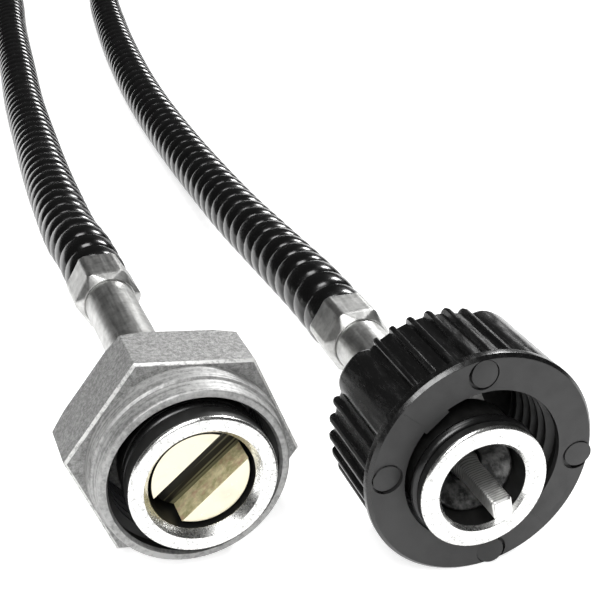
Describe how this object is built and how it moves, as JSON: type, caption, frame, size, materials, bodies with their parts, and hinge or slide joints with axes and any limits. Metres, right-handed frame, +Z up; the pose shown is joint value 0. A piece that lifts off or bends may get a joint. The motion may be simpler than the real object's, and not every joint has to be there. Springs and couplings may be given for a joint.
{
  "type": "flexible drive cable",
  "caption": "Ribbed flexible shaft cable for an instrument drive, with a cast hexagon union nut and slotted driver at one end and a moulded grip nut and square tip at the other.",
  "frame": {"origin": "on the floor under the middle of the two end fittings, without the cable between them", "axes": "-Y is the way both fittings face, +X runs from the hexagon nut to the grip nut, +Z is up from the floor the cable lies on"},
  "size_m": [0.0959, 0.3956, 0.0242],
  "materials": {
    "cast_zinc": "raw pressure die-cast zinc, fine grainy skin",
    "bright_plate": "bright zinc-plated turned steel",
    "dull_steel": "dull drawn steel, satin",
    "chromated_zinc": "yellow-chromated zinc, satin with iridescent tint",
    "bronze": "sintered bronze",
    "wound_steel": "wound steel wire, swaged",
    "rubber": "black nitrile rubber, slightly shiny",
    "moulded_plastic": "black moulded polyamide, satin",
    "cover_plastic": "glossy black flexible vinyl, ribbed"
  },
  "bodies": {
    "cable": {"hex_end_ferrule": "bright_plate", "hex_end_seal_ring": "rubber", "hex_end_tube": "dull_steel", "hex_end_crimp_sleeve": "dull_steel", "driver_thrust_washer": "bronze", "knurled_end_ferrule": "bright_plate", "knurled_end_seal_ring": "rubber", "knurled_end_tube": "dull_steel", "knurled_end_crimp_sleeve": "dull_steel", "core_bush": "dull_steel", "core_middle": "wound_steel", "casing_conduit": "dull_steel", "casing_hex_side": "cover_plastic", "casing_loop": "cover_plastic", "casing_knurled_side": "cover_plastic"},
    "hex_washer": {"hex_nut_slip_washer": "dull_steel"},
    "hex_union_nut": {"hex_nut": "cast_zinc"},
    "grip_washer": {"knurled_nut_slip_washer": "dull_steel"},
    "grip_union_nut": {"knurled_nut": "moulded_plastic"},
    "slotted_drive": {"slotted_driver": "chromated_zinc", "core_hex_end": "wound_steel"},
    "square_drive": {"core_square_tip": "wound_steel", "core_stop_collar": "dull_steel"}
  },
  "joints": [
    {"name": "hex_nut_slide", "type": "slide", "parent": "cable", "child": "hex_washer", "axis": [0, 1, 0], "range_m": [-0.0031, 0.0283]},
    {"name": "hex_nut_turn", "type": "hinge", "parent": "hex_washer", "child": "hex_union_nut", "pos_m": [-0.0132, -0.0181, 0.01124], "axis": [0, -1, 0], "continuous": true},
    {"name": "grip_nut_slide", "type": "slide", "parent": "cable", "child": "grip_washer", "axis": [0, 1, 0], "range_m": [-0.0037, 0.0159]},
    {"name": "grip_nut_turn", "type": "hinge", "parent": "grip_washer", "child": "grip_union_nut", "pos_m": [0.01311, -0.0272, 0.0121], "axis": [0, -1, 0], "continuous": true},
    {"name": "driver_turn", "type": "hinge", "parent": "cable", "child": "slotted_drive", "pos_m": [-0.013, -0.0181, 0.01174], "axis": [0, -1, 0], "continuous": true},
    {"name": "square_tip_turn", "type": "hinge", "parent": "cable", "child": "square_drive", "pos_m": [0.01206, -0.0272, 0.01145], "axis": [0, -1, 0], "continuous": true}
  ],
  "couplings": [
    {"joint": "square_tip_turn", "follows": "driver_turn", "ratio": -1}
  ]
}
